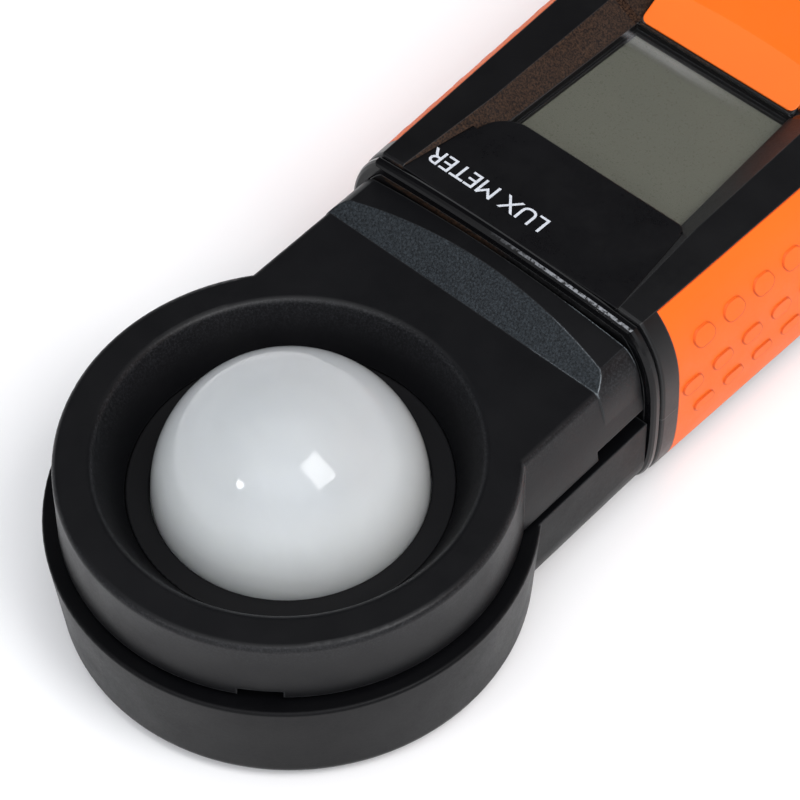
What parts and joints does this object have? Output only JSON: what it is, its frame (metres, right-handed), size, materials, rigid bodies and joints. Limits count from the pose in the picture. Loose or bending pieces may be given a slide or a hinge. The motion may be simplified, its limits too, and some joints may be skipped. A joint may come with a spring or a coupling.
{
  "type": "handheld light meter",
  "caption": "Pocket light meter with a white dome sensor in a swivelling head, a recessed display, keys and an orange grip around a black case.",
  "frame": {"origin": "centre of the bounding box in X and Y, on the flat back face it lies on", "axes": "+Z out of the display, +Y along the body toward the sensor head, +X to the right of someone reading the display"},
  "size_m": [0.06, 0.176, 0.0358],
  "materials": {
    "black_shell": "fine moulded texture, satin",
    "black_case": "satin black moulding",
    "gloss_ring": "polished black",
    "orange_grip": "soft-touch overmould",
    "orange_panel": "satin",
    "dome_white": "translucent white, polished",
    "ring_black": "smooth matte",
    "nameplate_black": "satin film",
    "lens_clear": "clear polished window",
    "lcd_grey": "reflective grey-green film",
    "lcd_glass": "clear glass sandwich",
    "white_plastic": "white moulding",
    "contact_rubber": "silicone strip",
    "board_green": "solder mask",
    "chip_black": "moulded epoxy",
    "capacitor": "sleeved can",
    "steel": "zinc-plated",
    "spring_steel": "nickel-plated",
    "can_metal": "gold-flashed can",
    "filter_green": "polished colour glass",
    "shaft_plastic": "acetal",
    "bushing_plastic": "acetal, natural",
    "lead_jacket": "pvc jacket",
    "key_black": "matte key",
    "cell_wrap": "printed sleeve",
    "foam": "foam pad"
  },
  "bodies": {
    "meter_body": {"front_case": "black_case", "rear_case": "black_case", "grip_cover": "orange_grip", "collar_ring": "gloss_ring", "nameplate": "nameplate_black", "display_lens": "lens_clear", "front_panel": "orange_panel", "swivel_bushing": "bushing_plastic", "lcd_glass": "lcd_glass", "lcd_polariser": "lcd_grey", "lcd_frame": "white_plastic", "lcd_contact_strips": "contact_rubber", "main_board": "board_green", "board_screws": "steel", "board_chips": "chip_black", "board_capacitors": "capacitor", "sensor_socket": "white_plastic", "switch_domes": "spring_steel", "case_screws": "steel", "battery_cells": "cell_wrap", "battery_contact_plates": "spring_steel", "battery_contact_springs": "spring_steel"},
    "sensor_head": {"head_upper_shell": "black_shell", "head_lower_shell": "black_shell", "diffuser_dome": "dome_white", "dome_retaining_ring": "ring_black", "photodiode": "can_metal", "colour_filter": "filter_green", "filter_holder": "chip_black", "sensor_board": "board_green", "sensor_board_screws": "steel", "head_screws": "steel", "swivel_shaft": "shaft_plastic", "swivel_washer": "spring_steel", "swivel_clip": "spring_steel", "sensor_lead": "lead_jacket"},
    "hold_key": {"hold_button": "key_black"},
    "max_min_key": {"max_min_button": "key_black"},
    "units_key": {"units_button": "key_black"},
    "power_key": {"power_button": "key_black"},
    "battery_cover": {"battery_door": "black_case", "battery_pad": "foam"}
  },
  "joints": [
    {"name": "head_swivel", "type": "hinge", "parent": "meter_body", "child": "sensor_head", "pos_m": [0, 0.0146, 0.015], "axis": [0, 1, 0], "range_deg": [-135, 135]},
    {"name": "hold_press", "type": "slide", "parent": "meter_body", "child": "hold_key", "axis": [0, 0, -1], "range_m": [0, 0.0006], "stiffness_N_per_m": 1500, "springref_m": -0.0002},
    {"name": "max_min_press", "type": "slide", "parent": "meter_body", "child": "max_min_key", "axis": [0, 0, -1], "range_m": [0, 0.0006], "stiffness_N_per_m": 1500, "springref_m": -0.0002},
    {"name": "units_press", "type": "slide", "parent": "meter_body", "child": "units_key", "axis": [0, 0, -1], "range_m": [0, 0.0006], "stiffness_N_per_m": 1500, "springref_m": -0.0002},
    {"name": "power_press", "type": "slide", "parent": "meter_body", "child": "power_key", "axis": [0, 0, -1], "range_m": [0, 0.0006], "stiffness_N_per_m": 1500, "springref_m": -0.0002},
    {"name": "battery_door_slide", "type": "slide", "parent": "meter_body", "child": "battery_cover", "axis": [0, -1, 0], "range_m": [0, 0.055]}
  ]
}
